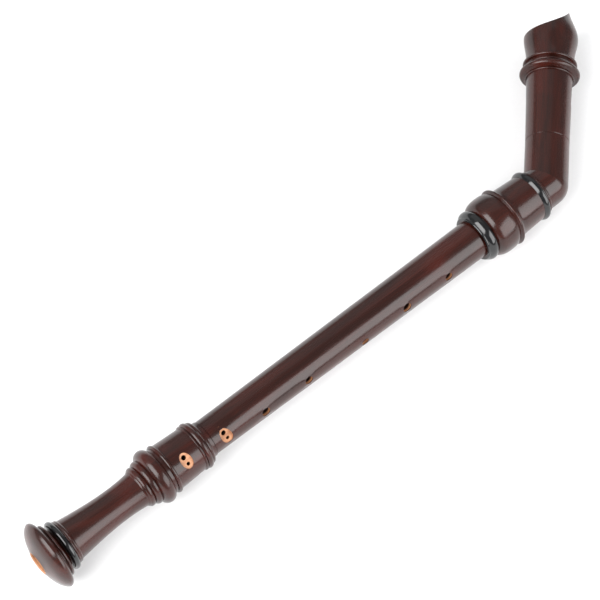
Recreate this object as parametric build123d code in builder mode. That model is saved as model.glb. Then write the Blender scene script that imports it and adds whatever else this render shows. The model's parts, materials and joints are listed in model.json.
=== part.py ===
"""Tenor recorder with a bent neck, keyless, lying on its side. Millimetres, +Z up, +X from the foot to the head.

Every wooden piece is turned about the body axis or the head axis, so each one is a revolved outline. An outline is
drawn with x along the axis and y as the radius. Along the body, x starts at the open foot end. Along the head, x
starts at the bend, +y is the player's side and -y is the front, where the window is.
"""

import os
from math import cos, radians, sin

from build123d import *

# Widest rings, which the recorder lies on: place along the axis and radius
FOOT_RIM_X, FOOT_RIM_R = 9.6, 27.7
STEP_RING_X, STEP_RING_R = 455.4, 25.1
HEAD_RING_X, HEAD_RING_R = 101.9, 24.7

# Where the pieces meet
FOOT_TOP_X = 154.5
BARREL_START_X = 423.6
BARREL_END_X = 489.0
BEND_X = 502.1
BEND_DEG = 45.4
SEAM_X = 38.8
BEAK_TIP_X = 164.5

# Air column
FOOT_BORE_R = 8.6
MIDDLE_BORE_LOW_R = 8.2
MIDDLE_BORE_HIGH_R = 10.4
HEAD_BORE_R = 11.2
LABIUM_X = 88.0
CUT_UP = 5.0
WINDWAY_WIDTH = 13.0
WINDWAY_HEIGHT = 1.2

# Sockets, tenons and the cork between them
LOW_SOCKET_R, LOW_SOCKET_DEPTH = 11.6, 21.0
TOP_SOCKET_R, TOP_SOCKET_DEPTH = 13.9, 29.0
HEAD_SOCKET_R, HEAD_SOCKET_DEPTH = 14.0, 20.0
TENON_CLEARANCE = 0.3
CORK_THICKNESS = 1.1
CORK_CLEARANCE = 0.04
CORK_END_MARGIN = 3.5
SHOULDER_GAP = 0.1

# Outsides of the plain tubes
MIDDLE_LOW_R = 14.3
MIDDLE_HIGH_R = 16.0
KNEE_R = 17.8
KNEE_PLUG_R = 14.2
KNEE_PLUG_DEPTH = 22.0

# Finger holes of the middle joint: place from the foot end, diameter, turn from the hole line
HOLES = [(384.5, 6.8, 0), (341.8, 7.6, 0), (299.2, 6.4, -14), (243.8, 6.8, 0), (202.2, 7.2, 0)]
THUMB_X, THUMB_DIAMETER = 398.0, 6.6
DOUBLE_MIDDLE_X = 166.0
DOUBLE_FOOT_X = 128.9
DOUBLE_SMALL_R = 1.45
DOUBLE_BIG_R = 2.0
DOUBLE_SPACING = 5.8
DOUBLE_SLANT = 14

# Turns about the body axis, from the plane of the bend at the front up towards +Z
MIDDLE_TURN = 23
RING_FINGER_TURN = MIDDLE_TURN + 18
FOOT_TURN = 59

# The body axis slopes and rolls a little, so that all three widest rings touch the ground at z = 0.
SLOPE = (FOOT_RIM_R - STEP_RING_R) / (STEP_RING_X - FOOT_RIM_X)
AXIS_HEIGHT = FOOT_RIM_R + SLOPE * FOOT_RIM_X
HEAD_RING_REACH = BEND_X + HEAD_RING_X * cos(radians(BEND_DEG))
HEAD_RING_SIDE = HEAD_RING_X * sin(radians(BEND_DEG))
ROLL = (HEAD_RING_R - AXIS_HEIGHT + SLOPE * HEAD_RING_REACH) / HEAD_RING_SIDE

# The origin is below the middle of the whole object.
MIDDLE_X, MIDDLE_Y = 313.45, 42.48

BODY = Plane(origin=(-MIDDLE_X, -MIDDLE_Y, AXIS_HEIGHT), x_dir=(1, 0, -SLOPE), z_dir=(SLOPE, -ROLL, 1))


def along(plane, x, y=0.0, z=0.0):
    """Ground-frame point at (x, y, z) of a plane."""
    return plane.from_local_coords(Vector(x, y, z))


BEND = along(BODY, BEND_X)
HEAD = Plane(
    origin=BEND,
    x_dir=BODY.x_dir * cos(radians(BEND_DEG)) + BODY.y_dir * sin(radians(BEND_DEG)),
    z_dir=BODY.z_dir,
)
MITRE = Plane(origin=BEND, x_dir=BODY.z_dir, z_dir=BODY.x_dir + HEAD.x_dir)
BODY_AXIS = Axis(BODY.origin, BODY.x_dir)
HEAD_AXIS = Axis(HEAD.origin, HEAD.x_dir)


def across(plane, x):
    """Plane square to the axis of the given plane, with its own y along the axis plane's z."""
    return Plane(origin=along(plane, x), x_dir=plane.y_dir, z_dir=plane.x_dir)


def radial(x, turn, height=0.0):
    """Plane facing out of the body tube at x, turned up from the front, with its own x along the tube."""
    outwards = BODY.y_dir * -cos(radians(turn)) + BODY.z_dir * sin(radians(turn))
    return Plane(origin=along(BODY, x) + outwards * height, x_dir=BODY.x_dir, z_dir=outwards)


def bead(start, end, top):
    """Rounded turned bead between two points of an outline, top high above the straight line."""
    middle = ((start[0] + end[0]) / 2, (start[1] + end[1]) / 2 + top)
    return ThreePointArc(start, middle, end)


def cork_ring(plane, axis, start, end, socket_r, tenon_r):
    """Thin cork sleeve that fills a tenon's groove and runs in the socket."""
    inner = tenon_r - CORK_THICKNESS + CORK_CLEARANCE
    outer = socket_r - CORK_CLEARANCE
    with BuildPart() as ring:
        with BuildSketch(plane):
            with BuildLine():
                Polyline(
                    (start, inner),
                    (end, inner),
                    (end, outer - 0.15),
                    (end - 0.6, outer),
                    (start + 0.6, outer),
                    (start, outer - 0.15),
                    close=True,
                )
            make_face()
        revolve(axis=axis)
    return ring


def beak_cut():
    """Closed outline of all that the beak's curved cut takes away, from the player's side round to the tip."""
    Spline((136.2, 26.0), (137.3, 15.0), (143.2, 0.0), (151.9, -9.0), (158.4, -12.6), (BEAK_TIP_X + 5, -16.0))
    Polyline((BEAK_TIP_X + 5, -16.0), (200, -30), (200, 30), (136.2, 26.0))


# Foot joint: flange, neck, waist, collar and socket in one turned piece
with BuildPart() as foot_joint:
    with BuildSketch(BODY):
        with BuildLine():
            Line((0.8, FOOT_BORE_R), (0.0, FOOT_BORE_R + 0.8))
            Spline((0.0, FOOT_BORE_R + 0.8), (2.6, 18.0), (5.8, 24.4), (FOOT_RIM_X, FOOT_RIM_R))
            Spline((FOOT_RIM_X, FOOT_RIM_R), (14.0, 21.4), tangents=[(1, 0), (0.25, -1)])
            bead((14.0, 21.4), (14.9, 21.2), -0.5)
            bead((14.9, 21.2), (17.0, 20.6), 0.8)
            Spline((17.0, 20.6), (19.4, 15.4), tangents=[(-0.05, -1), (1, -0.2)])
            Polyline((19.4, 15.4), (24.4, 15.4), (24.4, 17.8))
            bead((24.4, 17.8), (26.2, 17.5), 0.5)
            bead((26.2, 17.5), (28.0, 17.1), 0.4)
            Line((28.0, 17.1), (28.5, 16.6))
            Spline((28.5, 16.6), (74.0, 13.2), (90.1, 14.3), tangents=[(1, -0.12), (1, 0.14)])
            bead((90.1, 14.3), (91.6, 15.3), 0.2)
            bead((91.6, 15.3), (96.0, 15.7), 1.2)
            bead((96.0, 15.7), (101.2, 17.8), 1.5)
            bead((101.2, 17.8), (112.2, 19.2), 4.1)
            Line((112.2, 19.2), (114.6, 19.0))
            bead((114.6, 19.0), (117.8, 19.5), 1.5)
            Polyline((117.8, 19.5), (119.4, 19.3), (141.4, 18.2), (141.6, 18.8))
            bead((141.6, 18.8), (142.8, 18.8), 0.5)
            Polyline((142.8, 18.8), (143.0, 18.1), (143.4, 18.1))
            bead((143.4, 18.1), (148.2, 17.8), 1.8)
            bead((148.2, 17.8), (150.8, 16.2), 1.1)
            Spline((150.8, 16.2), (FOOT_TOP_X, 14.9), tangents=[(0.4, -1), (1, 0)])
            Polyline(
                (FOOT_TOP_X, 14.9),
                (FOOT_TOP_X, LOW_SOCKET_R),
                (FOOT_TOP_X - LOW_SOCKET_DEPTH, LOW_SOCKET_R),
                (FOOT_TOP_X - LOW_SOCKET_DEPTH, MIDDLE_BORE_LOW_R),
                (70.0, FOOT_BORE_R),
                (0.8, FOOT_BORE_R),
            )
        make_face()
    revolve(axis=BODY_AXIS)
    with BuildSketch(radial(DOUBLE_FOOT_X, FOOT_TURN, height=17.3)):
        Ellipse(4.6, 6.8, rotation=DOUBLE_SLANT / 2)
    extrude(amount=10, mode=Mode.SUBTRACT)
    with BuildSketch(radial(DOUBLE_FOOT_X, FOOT_TURN)):
        with Locations(Location((0, 0, 0), (0, 0, DOUBLE_SLANT / 2))):
            with Locations((0, -DOUBLE_SPACING / 2)):
                Circle(DOUBLE_SMALL_R)
            with Locations((0, DOUBLE_SPACING / 2)):
                Circle(DOUBLE_BIG_R)
    extrude(amount=FOOT_RIM_R, mode=Mode.SUBTRACT)
foot_joint.part.label = "foot_joint"

# Black ring let into the foot's neck
with BuildPart() as foot_ring:
    with BuildSketch(BODY):
        with BuildLine():
            Polyline((24.3, 18.8), (24.3, 15.4), (19.5, 15.4), (19.5, 18.4))
            bead((19.5, 18.4), (24.3, 18.8), 1.8)
        make_face()
    revolve(axis=BODY_AXIS)
foot_ring.part.label = "foot_ring"

# Middle joint: long tapered tube with a corked tenon at each end
LOW_TENON_R = LOW_SOCKET_R - TENON_CLEARANCE
TOP_TENON_R = TOP_SOCKET_R - TENON_CLEARANCE
LOW_TENON_END = FOOT_TOP_X - LOW_SOCKET_DEPTH + 0.5
TOP_TENON_END = BARREL_START_X + TOP_SOCKET_DEPTH - 0.5
LOW_CORK = (LOW_TENON_END + CORK_END_MARGIN, FOOT_TOP_X - CORK_END_MARGIN)
TOP_CORK = (BARREL_START_X + CORK_END_MARGIN, TOP_TENON_END - CORK_END_MARGIN)
with BuildPart() as middle_joint:
    with BuildSketch(BODY):
        with BuildLine():
            Polyline(
                (LOW_TENON_END, MIDDLE_BORE_LOW_R),
                (LOW_TENON_END, LOW_TENON_R - 0.6),
                (LOW_TENON_END + 0.6, LOW_TENON_R),
                (LOW_CORK[0], LOW_TENON_R),
                (LOW_CORK[0], LOW_TENON_R - CORK_THICKNESS),
                (LOW_CORK[1], LOW_TENON_R - CORK_THICKNESS),
                (LOW_CORK[1], LOW_TENON_R),
                (FOOT_TOP_X + SHOULDER_GAP, LOW_TENON_R),
                (FOOT_TOP_X + SHOULDER_GAP, MIDDLE_LOW_R - 0.5),
                (FOOT_TOP_X + SHOULDER_GAP + 0.5, MIDDLE_LOW_R),
                (BARREL_START_X - SHOULDER_GAP - 0.5, MIDDLE_HIGH_R),
                (BARREL_START_X - SHOULDER_GAP, MIDDLE_HIGH_R - 0.5),
                (BARREL_START_X - SHOULDER_GAP, TOP_TENON_R),
                (TOP_CORK[0], TOP_TENON_R),
                (TOP_CORK[0], TOP_TENON_R - CORK_THICKNESS),
                (TOP_CORK[1], TOP_TENON_R - CORK_THICKNESS),
                (TOP_CORK[1], TOP_TENON_R),
                (TOP_TENON_END - 0.6, TOP_TENON_R),
                (TOP_TENON_END, TOP_TENON_R - 0.6),
                (TOP_TENON_END, MIDDLE_BORE_HIGH_R),
                close=True,
            )
        make_face()
    revolve(axis=BODY_AXIS)
    for hole_x, diameter, turn in HOLES + [(THUMB_X, THUMB_DIAMETER, 180)]:
        with BuildSketch(radial(hole_x, MIDDLE_TURN + turn)):
            Circle(diameter / 2)
        extrude(amount=MIDDLE_HIGH_R + 1, mode=Mode.SUBTRACT)
    with BuildSketch(radial(DOUBLE_MIDDLE_X, RING_FINGER_TURN, height=12.6)):
        Ellipse(4.6, 7.0, rotation=DOUBLE_SLANT)
    extrude(amount=10, mode=Mode.SUBTRACT)
    with BuildSketch(radial(DOUBLE_MIDDLE_X, RING_FINGER_TURN)):
        with Locations(Location((0, 0, 0), (0, 0, DOUBLE_SLANT))):
            with Locations((0, -DOUBLE_SPACING / 2)):
                Circle(DOUBLE_SMALL_R)
            with Locations((0, DOUBLE_SPACING / 2)):
                Circle(DOUBLE_BIG_R)
    extrude(amount=MIDDLE_HIGH_R, mode=Mode.SUBTRACT)
middle_joint.part.label = "middle_joint"

lower_tenon_cork = cork_ring(BODY, BODY_AXIS, LOW_CORK[0] + 0.05, LOW_CORK[1] - 0.05, LOW_SOCKET_R, LOW_TENON_R)
lower_tenon_cork.part.label = "lower_tenon_cork"
upper_tenon_cork = cork_ring(BODY, BODY_AXIS, TOP_CORK[0] + 0.05, TOP_CORK[1] - 0.05, TOP_SOCKET_R, TOP_TENON_R)
upper_tenon_cork.part.label = "upper_tenon_cork"

# Barrel: the bulb-shaped socket on the lower end of the head, which takes the middle joint
LOW_RING_END = 432.6
NECK_RING_START = 482.6
RING_SEAT_R = 17.0
NECK_SEAT_R = 19.0
PLUG_STOP_X = BARREL_END_X - KNEE_PLUG_DEPTH
with BuildPart() as barrel:
    with BuildSketch(BODY):
        with BuildLine():
            Polyline(
                (BARREL_START_X + TOP_SOCKET_DEPTH, TOP_SOCKET_R),
                (BARREL_START_X, TOP_SOCKET_R),
                (BARREL_START_X, RING_SEAT_R),
                (LOW_RING_END, RING_SEAT_R),
                (LOW_RING_END, 20.2),
                (LOW_RING_END + 0.5, 19.8),
            )
            Spline((LOW_RING_END + 0.5, 19.8), (444.0, 24.7), (453.6, 23.2), tangents=[(0.5, 1), (1, -0.45)])
            Line((453.6, 23.2), (454.4, 24.3))
            bead((454.4, 24.3), (456.4, 24.3), STEP_RING_R - 24.3)
            Spline((456.4, 24.3), (464.0, 21.0), tangents=[(0.2, -1), (1, -0.05)])
            Polyline(
                (464.0, 21.0),
                (NECK_RING_START, 19.9),
                (NECK_RING_START, NECK_SEAT_R),
                (BARREL_END_X, NECK_SEAT_R),
                (BARREL_END_X, KNEE_PLUG_R),
                (PLUG_STOP_X, KNEE_PLUG_R),
                (PLUG_STOP_X, HEAD_BORE_R),
                (BARREL_START_X + TOP_SOCKET_DEPTH, HEAD_BORE_R),
                (BARREL_START_X + TOP_SOCKET_DEPTH, TOP_SOCKET_R),
            )
        make_face()
    revolve(axis=BODY_AXIS)
barrel.part.label = "barrel"

# Black ring round the mouth of the barrel's socket
with BuildPart() as barrel_mouth_ring:
    with BuildSketch(BODY):
        with BuildLine():
            Polyline((LOW_RING_END - 0.1, 20.3), (LOW_RING_END - 0.1, RING_SEAT_R), (BARREL_START_X, RING_SEAT_R))
            Line((BARREL_START_X, RING_SEAT_R), (BARREL_START_X, 18.8))
            bead((BARREL_START_X, 18.8), (425.0, 19.4), 0.25)
            Spline((425.0, 19.4), (428.8, 21.8), (LOW_RING_END - 0.1, 20.3), tangents=[(0.8, 1), (0.8, -1)])
        make_face()
    revolve(axis=BODY_AXIS)
barrel_mouth_ring.part.label = "barrel_mouth_ring"

# Thin black ring where the knee is glued into the barrel
with BuildPart() as barrel_neck_ring:
    with BuildSketch(BODY):
        with BuildLine():
            Polyline((487.6, 20.4), (487.6, NECK_SEAT_R), (NECK_RING_START, NECK_SEAT_R), (NECK_RING_START, 20.0))
            Spline((NECK_RING_START, 20.0), (485.6, 21.9), (487.6, 20.4), tangents=[(0.8, 0.8), (0.1, -1)])
        make_face()
    revolve(axis=BODY_AXIS)
barrel_neck_ring.part.label = "barrel_neck_ring"

# Knee, lower half: plug glued into the barrel, collar, tube and the mitred half of the elbow
with BuildPart() as knee_lower:
    with BuildSketch(BODY):
        with BuildLine():
            Polyline(
                (BEND_X, 0),
                (PLUG_STOP_X, 0),
                (PLUG_STOP_X, KNEE_PLUG_R),
                (BARREL_END_X, KNEE_PLUG_R),
                (BARREL_END_X, 19.0),
            )
            bead((BARREL_END_X, 19.0), (491.0, 18.8), 0.5)
            Polyline((491.0, 18.8), (491.8, KNEE_R), (BEND_X, KNEE_R), (BEND_X, 0))
        make_face()
    revolve(axis=BODY_AXIS)
    with Locations(BEND):
        Sphere(KNEE_R)
    with BuildSketch(across(BODY, PLUG_STOP_X)):
        Circle(HEAD_BORE_R)
    extrude(amount=BEND_X - PLUG_STOP_X, mode=Mode.SUBTRACT)
    with Locations(BEND):
        Sphere(HEAD_BORE_R, mode=Mode.SUBTRACT)
    split(bisect_by=MITRE, keep=Keep.BOTTOM)
knee_lower.part.label = "knee_lower"

# Knee, upper half: the other half of the elbow, its tube and the corked tenon that takes the head
HEAD_TENON_R = HEAD_SOCKET_R - TENON_CLEARANCE
HEAD_TENON_END = SEAM_X + HEAD_SOCKET_DEPTH - 0.5
HEAD_CORK = (SEAM_X + CORK_END_MARGIN, HEAD_TENON_END - CORK_END_MARGIN)
with BuildPart() as knee_upper:
    with BuildSketch(HEAD):
        with BuildLine():
            Polyline(
                (0, 0),
                (0, KNEE_R),
                (SEAM_X - SHOULDER_GAP - 0.4, KNEE_R),
                (SEAM_X - SHOULDER_GAP, KNEE_R - 0.4),
                (SEAM_X - SHOULDER_GAP, HEAD_TENON_R),
                (HEAD_CORK[0], HEAD_TENON_R),
                (HEAD_CORK[0], HEAD_TENON_R - CORK_THICKNESS),
                (HEAD_CORK[1], HEAD_TENON_R - CORK_THICKNESS),
                (HEAD_CORK[1], HEAD_TENON_R),
                (HEAD_TENON_END - 0.6, HEAD_TENON_R),
                (HEAD_TENON_END, HEAD_TENON_R - 0.6),
                (HEAD_TENON_END, 0),
                close=True,
            )
        make_face()
    revolve(axis=HEAD_AXIS)
    with Locations(BEND):
        Sphere(KNEE_R)
    with BuildSketch(across(HEAD, 0)):
        Circle(HEAD_BORE_R)
    extrude(amount=HEAD_TENON_END, mode=Mode.SUBTRACT)
    with Locations(BEND):
        Sphere(HEAD_BORE_R, mode=Mode.SUBTRACT)
    split(bisect_by=MITRE, keep=Keep.TOP)
knee_upper.part.label = "knee_upper"

knee_tenon_cork = cork_ring(HEAD, HEAD_AXIS, HEAD_CORK[0] + 0.05, HEAD_CORK[1] - 0.05, HEAD_SOCKET_R, HEAD_TENON_R)
knee_tenon_cork.part.label = "knee_tenon_cork"

# Head: socket, tube with the window, rings and beak. The windway's roof is cut in its front wall.
BLOCK_X = LABIUM_X + CUT_UP
WINDWAY_ROOF_R = HEAD_BORE_R + WINDWAY_HEIGHT
with BuildPart() as head:
    with BuildSketch(HEAD):
        with BuildLine():
            Polyline(
                (180.0, HEAD_BORE_R),
                (SEAM_X + HEAD_SOCKET_DEPTH, HEAD_BORE_R),
                (SEAM_X + HEAD_SOCKET_DEPTH, HEAD_SOCKET_R),
                (SEAM_X, HEAD_SOCKET_R),
                (SEAM_X, KNEE_R - 0.4),
                (SEAM_X + 0.4, KNEE_R),
                (74.0, 18.4),
                (97.0, 19.0),
            )
            bead((97.0, 19.0), (98.6, 19.6), 0.9)
            Line((98.6, 19.6), (99.6, 22.4))
            bead((99.6, 22.4), (104.2, 22.4), HEAD_RING_R - 22.4)
            Polyline((104.2, 22.4), (104.9, 20.4), (106.0, 20.4))
            bead((106.0, 20.4), (108.0, 20.4), 0.7)
            Polyline((108.0, 20.4), (109.4, 20.0), (109.9, 21.4))
            bead((109.9, 21.4), (112.1, 21.4), 0.8)
            Line((112.1, 21.4), (112.6, 20.0))
            Spline((112.6, 20.0), (124.0, 20.5), (136.6, 22.2), (152.4, 17.6), (BEAK_TIP_X, 14.2))
            Polyline((BEAK_TIP_X, 14.2), (180.0, 14.2), (180.0, HEAD_BORE_R))
        make_face()
    revolve(axis=HEAD_AXIS)
    with BuildSketch(HEAD):
        with BuildLine():
            beak_cut()
        make_face()
    extrude(amount=30, both=True, mode=Mode.SUBTRACT)
    with BuildSketch(HEAD):
        with BuildLine():
            Polyline(
                (69.0, -18.5),
                (LABIUM_X, -HEAD_BORE_R - 0.7),
                (LABIUM_X, -HEAD_BORE_R + 2.4),
                (BLOCK_X, -HEAD_BORE_R + 2.4),
                (BLOCK_X, -25),
                (69.0, -25),
                close=True,
            )
        make_face()
    extrude(amount=WINDWAY_WIDTH / 2, both=True, mode=Mode.SUBTRACT)
    with BuildSketch(across(HEAD, BLOCK_X - 1)):
        Circle(WINDWAY_ROOF_R)
        with Locations((-WINDWAY_ROOF_R, 0)):
            Rectangle(8.0, WINDWAY_WIDTH, mode=Mode.INTERSECT)
    extrude(amount=90, mode=Mode.SUBTRACT)
head.part.label = "head"

# Block: the cedar plug that floors the windway, cut off flush with the beak
with BuildPart() as block:
    with BuildSketch(across(HEAD, BLOCK_X)):
        Circle(HEAD_BORE_R - CORK_CLEARANCE)
    extrude(amount=90)
    with BuildSketch(HEAD):
        with BuildLine():
            beak_cut()
        make_face()
    extrude(amount=30, both=True, mode=Mode.SUBTRACT)
block.part.label = "block"

os.makedirs("parts", exist_ok=True)
for piece in (
    foot_joint,
    foot_ring,
    middle_joint,
    lower_tenon_cork,
    upper_tenon_cork,
    barrel,
    barrel_mouth_ring,
    barrel_neck_ring,
    knee_lower,
    knee_upper,
    knee_tenon_cork,
    head,
    block,
):
    export_step(piece.part, f"parts/{piece.part.label}.step")
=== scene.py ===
"""Bent-neck tenor recorder in stained wood with black rings, on a pale studio floor.

Metres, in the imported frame. The CAD nodes keep their shape and get procedural materials. Grain follows the
axis that each piece was turned on, and raw wood shows wherever a piece was bored or cut after staining.
"""

import json

import bpy
from mathutils import Matrix, Vector

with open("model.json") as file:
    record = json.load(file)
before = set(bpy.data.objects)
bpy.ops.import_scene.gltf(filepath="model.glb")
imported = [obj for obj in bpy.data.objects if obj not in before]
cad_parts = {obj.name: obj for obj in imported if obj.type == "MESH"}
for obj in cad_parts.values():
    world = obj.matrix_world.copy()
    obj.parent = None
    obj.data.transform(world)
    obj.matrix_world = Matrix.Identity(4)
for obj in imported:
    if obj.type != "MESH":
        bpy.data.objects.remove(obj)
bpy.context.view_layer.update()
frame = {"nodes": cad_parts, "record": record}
nodes = frame["nodes"]
scene = bpy.context.scene

# Body axis and head axis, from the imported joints. Places along the body are measured from the foot's open
# end, and places along the head from the bend.
NECK_TWIST_AT = 0.436
HEAD_TWIST_AT = 0.048
JOINTS = {joint["name"]: joint for joint in frame["record"]["behaviour"]["joints"]}
BODY_X = Vector(JOINTS["neck_twist"]["axis"]).normalized()
HEAD_X = Vector(JOINTS["head_twist"]["axis"]).normalized()
BEND_Z = BODY_X.cross(HEAD_X).normalized()
FOOT_END = Vector(JOINTS["neck_twist"]["pos_m"]) - BODY_X * NECK_TWIST_AT
BEND = Vector(JOINTS["head_twist"]["pos_m"]) - HEAD_X * HEAD_TWIST_AT


def turning_frame(point, axis):
    """Frame at a point with x along the turning axis and z square to the plane of the bend."""
    side = BEND_Z.cross(axis)
    return Matrix.Translation(point) @ Matrix((axis, side, BEND_Z)).transposed().to_4x4()


BODY_FRAME = turning_frame(FOOT_END, BODY_X)
HEAD_FRAME = turning_frame(BEND, HEAD_X)

# Radii inside which each piece is raw, a little over its bore or socket
FOOT_RAW_R = 0.0095
BARREL_RAW_R = 0.0142
KNEE_RAW_R = 0.0145
HEAD_RAW_R = 0.0128

# Outsides of the tubes that the tone holes are cut in: start, end, radius at the start, radius at the end.
# Each recess round a double hole has a start and an end. The stain goes less deep in a recess.
MIDDLE_TUBE = (0.155, 0.4235, 0.0143, 0.016)
FOOT_CYLINDER = (0.1194, 0.1414, 0.0193, 0.0182)
MIDDLE_RECESS = (0.1575, 0.1745)
FOOT_RECESS = (0.1215, 0.1365)
STAIN_DEPTH = 0.0006
RECESS_STAIN_DEPTH = 0.00025


def display_colour(red, green, blue):
    """Linear colour from 0-255 display values."""

    def linear(value):
        share = value / 255
        return share / 12.92 if share < 0.0405 else ((share + 0.055) / 1.055) ** 2.4

    return (linear(red), linear(green), linear(blue), 1.0)


STAIN_DARK = display_colour(33, 11, 6)
STAIN_LIGHT = display_colour(55, 19, 11)
STAIN_STREAK = display_colour(24, 8, 5)
STAIN_PORE = display_colour(14, 6, 5)
STAIN_RED = display_colour(74, 20, 10)
RAW_LIGHT = display_colour(186, 136, 100)
RAW_DARK = display_colour(152, 100, 68)
RAW_PORE = display_colour(116, 66, 40)
# Painted shade for raw wood deep down the tone holes
RAW_PAINTED_SHADE = display_colour(38, 20, 14)
RING_BLACK = display_colour(7, 7, 8)
RING_SCUFF = display_colour(17, 18, 20)
CORK_LIGHT = display_colour(196, 152, 104)
CORK_DARK = display_colour(150, 104, 66)
CORK_GRAIN = display_colour(96, 62, 40)
CEDAR_LIGHT = display_colour(206, 142, 100)
CEDAR_DARK = display_colour(150, 84, 56)
CEDAR_FIBRE = display_colour(110, 60, 42)
PAPER_LIGHT = (0.9, 0.9, 0.9, 1.0)
PAPER_DARK = (0.86, 0.86, 0.86, 1.0)


class Nodes:
    """Adds shader nodes to one new material and links them."""

    def __init__(self, name):
        self.material = bpy.data.materials.new(name)
        self.material.use_nodes = True
        self.tree = self.material.node_tree
        self.shader = self.tree.nodes["Principled BSDF"]

    def put(self, value, socket):
        if isinstance(value, bpy.types.NodeSocket):
            self.tree.links.new(value, socket)
        else:
            socket.default_value = value

    def add(self, kind, inputs, **settings):
        node = self.tree.nodes.new(kind)
        for key, value in settings.items():
            setattr(node, key, value)
        for key, value in inputs.items():
            self.put(value, node.inputs[key])
        return node

    def dress(self, values):
        """Links or sets sockets of the shader by name."""
        for name, value in values.items():
            self.put(value, self.shader.inputs[name])

    def math(self, operation, first, second=0.0):
        return self.add("ShaderNodeMath", {0: first, 1: second}, operation=operation).outputs[0]

    def ramp(self, value, low, high, start=0.0, end=1.0):
        """Smooth step from start to end, level on both sides."""
        inputs = {"Value": value, "From Min": low, "From Max": high, "To Min": start, "To Max": end}
        return self.add("ShaderNodeMapRange", inputs, interpolation_type="SMOOTHSTEP").outputs["Result"]

    def line(self, value, low, high, start, end):
        """Straight line through two points, carried on past both."""
        inputs = {"Value": value, "From Min": low, "From Max": high, "To Min": start, "To Max": end}
        return self.add("ShaderNodeMapRange", inputs, clamp=False).outputs["Result"]

    def between(self, value, low, high):
        """One between two values, and zero elsewhere."""
        above = self.math("GREATER_THAN", value, low)
        return self.math("MULTIPLY", above, self.math("LESS_THAN", value, high))

    def mix(self, share, first, second):
        """Blend of two colours."""
        return self.add("ShaderNodeMix", {0: share, 6: first, 7: second}, data_type="RGBA").outputs[2]

    def blend(self, share, first, second):
        """Blend of two numbers."""
        return self.add("ShaderNodeMix", {0: share, 2: first, 3: second}).outputs[0]

    def axis_point(self, matrix):
        """Object-space position turned into the frame of a turning axis, in metres."""
        place = matrix.inverted()
        coords = self.add("ShaderNodeTexCoord", {}).outputs["Object"]
        inputs = {"Vector": coords, "Location": place.translation, "Rotation": place.to_euler()}
        return self.add("ShaderNodeMapping", inputs, vector_type="POINT").outputs["Vector"]

    def noise(self, point, along, across, detail, **more):
        """Noise with its own frequency along the turning axis and across it."""
        scaled = self.add("ShaderNodeMapping", {"Vector": point, "Scale": (along, across, across)})
        inputs = {"Vector": scaled.outputs["Vector"], "Scale": 1.0, "Detail": detail, "Roughness": 0.55}
        inputs.update(more)
        return self.add("ShaderNodeTexNoise", inputs).outputs["Fac"]

    def bump(self, height, distance, strength):
        inputs = {"Height": height, "Distance": distance, "Strength": strength}
        return self.add("ShaderNodeBump", inputs).outputs["Normal"]


def bored(radius):
    """Raw wood inside one radius only."""
    return lambda n, along: radius


def middle_skin(n, along):
    """Just under the surface of the tapered middle joint, and nearer to it in the double hole's recess."""
    recess = n.between(along, *MIDDLE_RECESS)
    depth = n.math("SUBTRACT", STAIN_DEPTH, n.math("MULTIPLY", recess, STAIN_DEPTH - RECESS_STAIN_DEPTH))
    return n.math("SUBTRACT", n.line(along, *MIDDLE_TUBE), depth)


def foot_skin(n, along):
    """Inside the bore, and under the surface where the double hole's recess is cut."""
    recess = n.between(along, *FOOT_RECESS)
    skin = n.math("SUBTRACT", n.line(along, *FOOT_CYLINDER), RECESS_STAIN_DEPTH)
    return n.math("MAXIMUM", n.math("MULTIPLY", recess, skin), FOOT_RAW_R)


def stained_wood(name, matrix, raw_inside):
    """Dark stained and lacquered pearwood, raw nearer to the axis than raw_inside says."""
    n = Nodes(name)
    point = n.axis_point(matrix)
    along, side, up = n.add("ShaderNodeSeparateXYZ", {0: point}).outputs
    radius = n.math("SQRT", n.math("ADD", n.math("MULTIPLY", side, side), n.math("MULTIPLY", up, up)))

    figure = n.noise(point, 9, 90, 4, Distortion=0.6)
    streaks = n.noise(point, 26, 900, 4, Roughness=0.65)
    pores = n.noise(point, 160, 5200, 2)
    blotch = n.noise(point, 22, 45, 2)

    dark = n.mix(n.ramp(figure, 0.3, 0.7), STAIN_DARK, STAIN_LIGHT)
    dark = n.mix(n.ramp(streaks, 0.42, 0.72, 0.0, 0.4), dark, STAIN_STREAK)
    dark = n.mix(n.ramp(pores, 0.56, 0.72, 0.0, 0.5), dark, STAIN_PORE)
    dark = n.mix(n.ramp(blotch, 0.5, 0.8, 0.0, 0.35), dark, STAIN_RED)

    # Painted shade: raw wood is painted darker down the tone holes, where the light doesn't reach.
    depth = n.math("SUBTRACT", raw_inside(n, along), radius)
    pale = n.mix(n.ramp(streaks, 0.3, 0.75), RAW_LIGHT, RAW_DARK)
    pale = n.mix(n.ramp(pores, 0.55, 0.75, 0.0, 0.45), pale, RAW_PORE)
    pale = n.mix(n.ramp(depth, 0.0012, 0.0026), pale, RAW_PAINTED_SHADE)

    # The stain's edge wanders a little with the grain.
    wander = n.math("MULTIPLY", n.math("SUBTRACT", streaks, 0.5), 0.0001)
    raw = n.ramp(n.math("ADD", depth, wander), 0.0, 0.0001)

    lacquer = n.math("ADD", n.ramp(blotch, 0.3, 0.7, 0.2, 0.27), n.ramp(pores, 0.5, 0.75, 0.0, 0.12))
    relief = n.math("ADD", n.math("MULTIPLY", streaks, 0.5), n.math("MULTIPLY", pores, 0.5))
    n.dress(
        {
            "Base Color": n.mix(raw, dark, pale),
            "Roughness": n.blend(raw, lacquer, 0.62),
            "Normal": n.bump(relief, 0.00006, 0.35),
            "Specular IOR Level": 0.34,
            "Coat Weight": 0.15,
            "Coat Roughness": 0.08,
        }
    )
    return n.material


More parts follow.
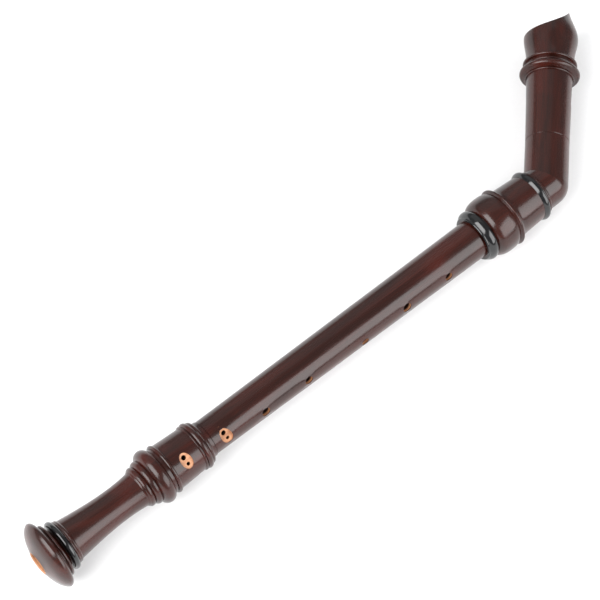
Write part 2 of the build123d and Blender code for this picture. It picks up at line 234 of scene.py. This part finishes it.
def black_ring():
    """Black moulded ring with a fine turned finish and faint scuffs."""
    n = Nodes("black_ring_plastic")
    point = n.axis_point(BODY_FRAME)
    turned = n.noise(point, 9000, 60, 2)
    scuffs = n.noise(point, 500, 500, 5, Roughness=0.7)
    n.dress(
        {
            "Base Color": n.mix(n.ramp(scuffs, 0.45, 0.8), RING_BLACK, RING_SCUFF),
            "Roughness": n.ramp(scuffs, 0.35, 0.75, 0.1, 0.2),
            "Normal": n.bump(turned, 0.00002, 0.3),
            "Specular IOR Level": 0.6,
        }
    )
    return n.material


def cork(name, matrix):
    """Tan cork lapping with dark grains."""
    n = Nodes(name)
    point = n.axis_point(matrix)
    cells = n.add("ShaderNodeTexVoronoi", {"Vector": point, "Scale": 1100.0}).outputs["Distance"]
    grains = n.noise(point, 700, 700, 4)
    base = n.mix(n.ramp(grains, 0.35, 0.7), CORK_LIGHT, CORK_DARK)
    n.dress(
        {
            "Base Color": n.mix(n.ramp(cells, 0.35, 0.7, 0.0, 0.5), base, CORK_GRAIN),
            "Roughness": n.ramp(grains, 0.3, 0.7, 0.7, 0.9),
            "Normal": n.bump(cells, 0.0001, 0.4),
        }
    )
    return n.material


def cedar():
    """Raw cedar block with straight reddish grain along the windway."""
    n = Nodes("cedar_wood")
    point = n.axis_point(HEAD_FRAME)
    rings = n.noise(point, 14, 700, 3, Distortion=0.3)
    fibres = n.noise(point, 120, 4000, 2)
    base = n.mix(n.ramp(rings, 0.35, 0.68), CEDAR_LIGHT, CEDAR_DARK)
    n.dress(
        {
            "Base Color": n.mix(n.ramp(fibres, 0.5, 0.75, 0.0, 0.4), base, CEDAR_FIBRE),
            "Roughness": n.ramp(fibres, 0.3, 0.7, 0.6, 0.75),
            "Normal": n.bump(rings, 0.00005, 0.3),
        }
    )
    return n.material


def paint(material, *names):
    """Gives CAD nodes one material in every slot."""
    for name in names:
        slots = nodes[name].material_slots
        if not slots:
            nodes[name].data.materials.append(material)
        for slot in slots:
            slot.link = "OBJECT"
            slot.material = material


paint(stained_wood("foot_wood", BODY_FRAME, foot_skin), "foot_joint")
paint(stained_wood("middle_wood", BODY_FRAME, middle_skin), "middle_joint")
paint(stained_wood("barrel_wood", BODY_FRAME, bored(BARREL_RAW_R)), "barrel")
paint(stained_wood("knee_lower_wood", BODY_FRAME, bored(KNEE_RAW_R)), "knee_lower")
paint(stained_wood("knee_upper_wood", HEAD_FRAME, bored(KNEE_RAW_R)), "knee_upper")
paint(stained_wood("head_wood", HEAD_FRAME, bored(HEAD_RAW_R)), "head")
paint(black_ring(), "foot_ring", "barrel_mouth_ring", "barrel_neck_ring")
paint(cork("cork", BODY_FRAME), "lower_tenon_cork", "upper_tenon_cork")
paint(cork("knee_cork", HEAD_FRAME), "knee_tenon_cork")
paint(cedar(), "block")


# Camera, in the body frame: its place, and its directions to the right and up
CAMERA_AT = Vector((-0.2337, -0.4223, 1.4608))
CAMERA_RIGHT = Vector((0.76487, -0.64077, 0.06624))
CAMERA_UP = Vector((0.55939, 0.71167, 0.42499))
LENS_MM = 126.42
SENSOR_MM = 36


def place_camera():
    """Adds the camera and makes it the scene's."""
    camera = bpy.data.objects.new("camera", bpy.data.cameras.new("camera"))
    scene.collection.objects.link(camera)
    scene.camera = camera
    camera.data.sensor_width = SENSOR_MM
    camera.data.lens = LENS_MM
    camera.data.clip_end = 30
    back = CAMERA_RIGHT.cross(CAMERA_UP)
    turn = Matrix((CAMERA_RIGHT, CAMERA_UP, back)).transposed().to_4x4()
    camera.matrix_world = BODY_FRAME @ Matrix.Translation(CAMERA_AT) @ turn


def floor(reach=4.0):
    """Pale matt studio floor."""
    corners = [(-reach, -reach, 0), (reach, -reach, 0), (reach, reach, 0), (-reach, reach, 0)]
    mesh = bpy.data.meshes.new("floor")
    mesh.from_pydata(corners, [], [(0, 1, 2, 3)])
    sheet = bpy.data.objects.new("floor", mesh)
    scene.collection.objects.link(sheet)
    n = Nodes("floor_paper")
    coords = n.add("ShaderNodeTexCoord", {}).outputs["Object"]
    grain = n.noise(coords, 300, 300, 3)
    n.dress({"Base Color": n.mix(grain, PAPER_DARK, PAPER_LIGHT), "Roughness": 0.8})
    mesh.materials.append(n.material)


def softbox(name, centre, target, size, watts):
    """Large rectangular area light facing the target."""
    data = bpy.data.lights.new(name, "AREA")
    data.shape = "RECTANGLE"
    data.size, data.size_y = size
    data.energy = watts
    lamp = bpy.data.objects.new(name, data)
    scene.collection.objects.link(lamp)
    lamp.location = centre
    lamp.rotation_euler = (Vector(target) - Vector(centre)).to_track_quat("-Z", "Y").to_euler()


def studio_air(colour, strength):
    """Even light from all round."""
    scene.world = bpy.data.worlds.new("studio")
    scene.world.use_nodes = True
    background = scene.world.node_tree.nodes["Background"]
    background.inputs["Color"].default_value = colour
    background.inputs["Strength"].default_value = strength


# The front softbox makes the bright stripe along the tubes. The foot softbox whitens the floor, and stands
# where the tubes don't reflect it.
scene.view_settings.view_transform = "Standard"
place_camera()
floor()
studio_air(colour=(0.97, 0.98, 1.0, 1.0), strength=0.42)
softbox("front_softbox", centre=(0.45, -1.13, 0.73), target=(0, 0, 0), size=(1.6, 1.1), watts=28)
softbox("side_softbox", centre=(0.3, 1.5, 1.4), target=(0, 0.2, 0), size=(3.0, 1.9), watts=6)
softbox("foot_softbox", centre=(-1.7, 0.3, 1.5), target=(0, 0.1, 0), size=(2.0, 2.0), watts=92)
